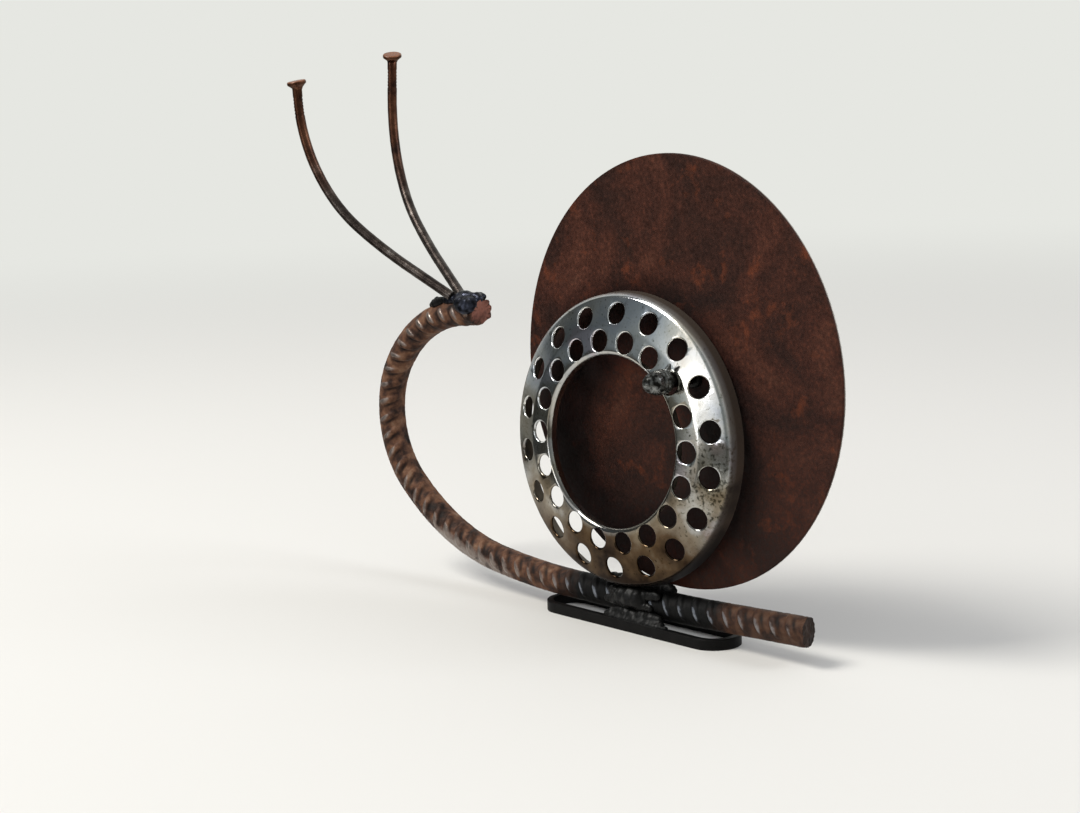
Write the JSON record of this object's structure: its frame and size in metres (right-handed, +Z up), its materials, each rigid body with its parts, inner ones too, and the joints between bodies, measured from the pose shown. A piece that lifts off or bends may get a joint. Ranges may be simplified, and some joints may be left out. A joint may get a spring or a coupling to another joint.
{
  "type": "snail figurine",
  "caption": "Standing snail figurine of welded scrap steel: bent ribbed bar for the body, plate disc and perforated ring for the shell, bent nails for the feelers.",
  "frame": {"origin": "on the ground, under the middle of the whole figure", "axes": "+X from the head towards the tail, +Y from the polished ring towards the plate disc, +Z up"},
  "size_m": [0.336, 0.0727, 0.2703],
  "materials": {
    "ribbed_bar": "brown mill scale and light rust, satin",
    "black_steel": "black scale, slight sheen",
    "polished_steel": "polished, tarnished in patches",
    "rusty_plate": "dark brown rust, mottled, semi-matt",
    "bare_rod": "dark heat-stained steel",
    "nail_steel": "grey-brown, satin",
    "weld_metal": "blue-black, glossy in places"
  },
  "bodies": {
    "root": {"body_bar": "ribbed_bar", "foot_link": "black_steel", "shell_ring": "polished_steel", "shell_disc": "rusty_plate", "ring_peg": "bare_rod", "left_feeler": "nail_steel", "right_feeler": "nail_steel", "head_weld": "weld_metal", "neck_tack": "weld_metal", "ring_weld": "weld_metal", "disc_weld": "weld_metal", "foot_weld": "weld_metal", "peg_weld": "weld_metal", "peg_root_weld": "weld_metal"}
  },
  "joints": []
}
